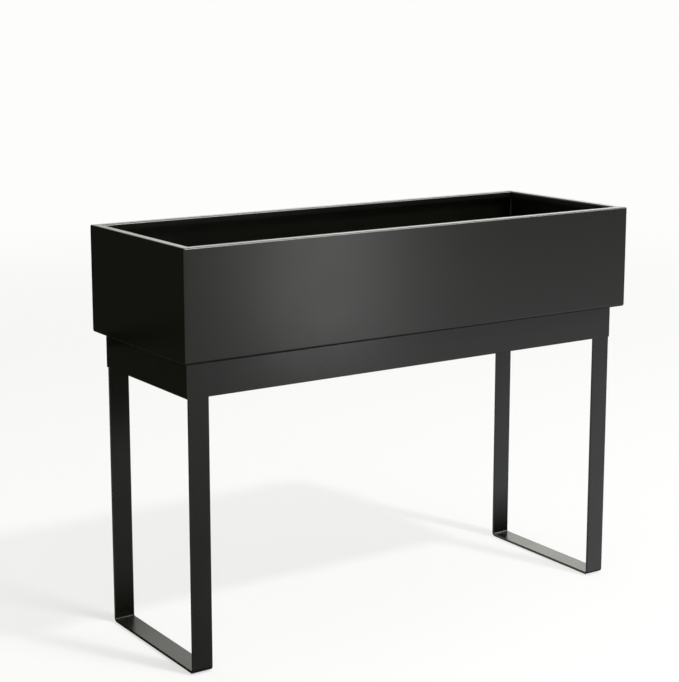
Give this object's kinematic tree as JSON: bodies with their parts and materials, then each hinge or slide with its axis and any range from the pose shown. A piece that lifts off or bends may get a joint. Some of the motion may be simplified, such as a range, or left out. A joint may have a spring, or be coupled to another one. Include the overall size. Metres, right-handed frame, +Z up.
{
  "type": "raised planter box",
  "caption": "Long rectangular sheet-steel planter trough with a folded rim, lifting off a stand with an apron band and U-shaped legs bent from flat bar.",
  "frame": {"origin": "on the floor, under the middle of the planter", "axes": "+Z up, +X along the trough, front face towards -Y"},
  "size_m": [1, 0.36, 0.765],
  "materials": {
    "trough_coat": "satin black powder coat on sheet steel",
    "stand_coat": "satin black powder coat on flat bar",
    "rubber": "matte black moulded rubber"
  },
  "bodies": {
    "stand": {"left_leg_loop": "stand_coat", "right_leg_loop": "stand_coat", "front_rail": "stand_coat", "rear_rail": "stand_coat", "left_end_plate": "stand_coat", "right_end_plate": "stand_coat", "gusset_front_left": "stand_coat", "gusset_front_right": "stand_coat", "gusset_rear_right": "stand_coat", "gusset_rear_left": "stand_coat", "foot_pad_front_left": "rubber", "foot_pad_front_right": "rubber", "foot_pad_rear_right": "rubber", "foot_pad_rear_left": "rubber"},
    "trough": {"trough_shell": "trough_coat", "left_end_panel": "trough_coat", "right_end_panel": "trough_coat", "base_channel_far_left": "trough_coat", "base_channel_near_left": "trough_coat", "base_channel_near_right": "trough_coat", "base_channel_far_right": "trough_coat"},
    "plug_left": {"drain_plug_left": "rubber"},
    "plug_middle": {"drain_plug_middle": "rubber"},
    "plug_right": {"drain_plug_right": "rubber"}
  },
  "joints": [
    {"name": "trough_lift", "type": "slide", "parent": "stand", "child": "trough", "axis": [0, 0, 1], "range_m": [0, 0.1]},
    {"name": "plug_left_pull", "type": "slide", "parent": "trough", "child": "plug_left", "axis": [0, 0, -1], "range_m": [0, 0.03]},
    {"name": "plug_middle_pull", "type": "slide", "parent": "trough", "child": "plug_middle", "axis": [0, 0, -1], "range_m": [0, 0.03]},
    {"name": "plug_right_pull", "type": "slide", "parent": "trough", "child": "plug_right", "axis": [0, 0, -1], "range_m": [0, 0.03]}
  ]
}
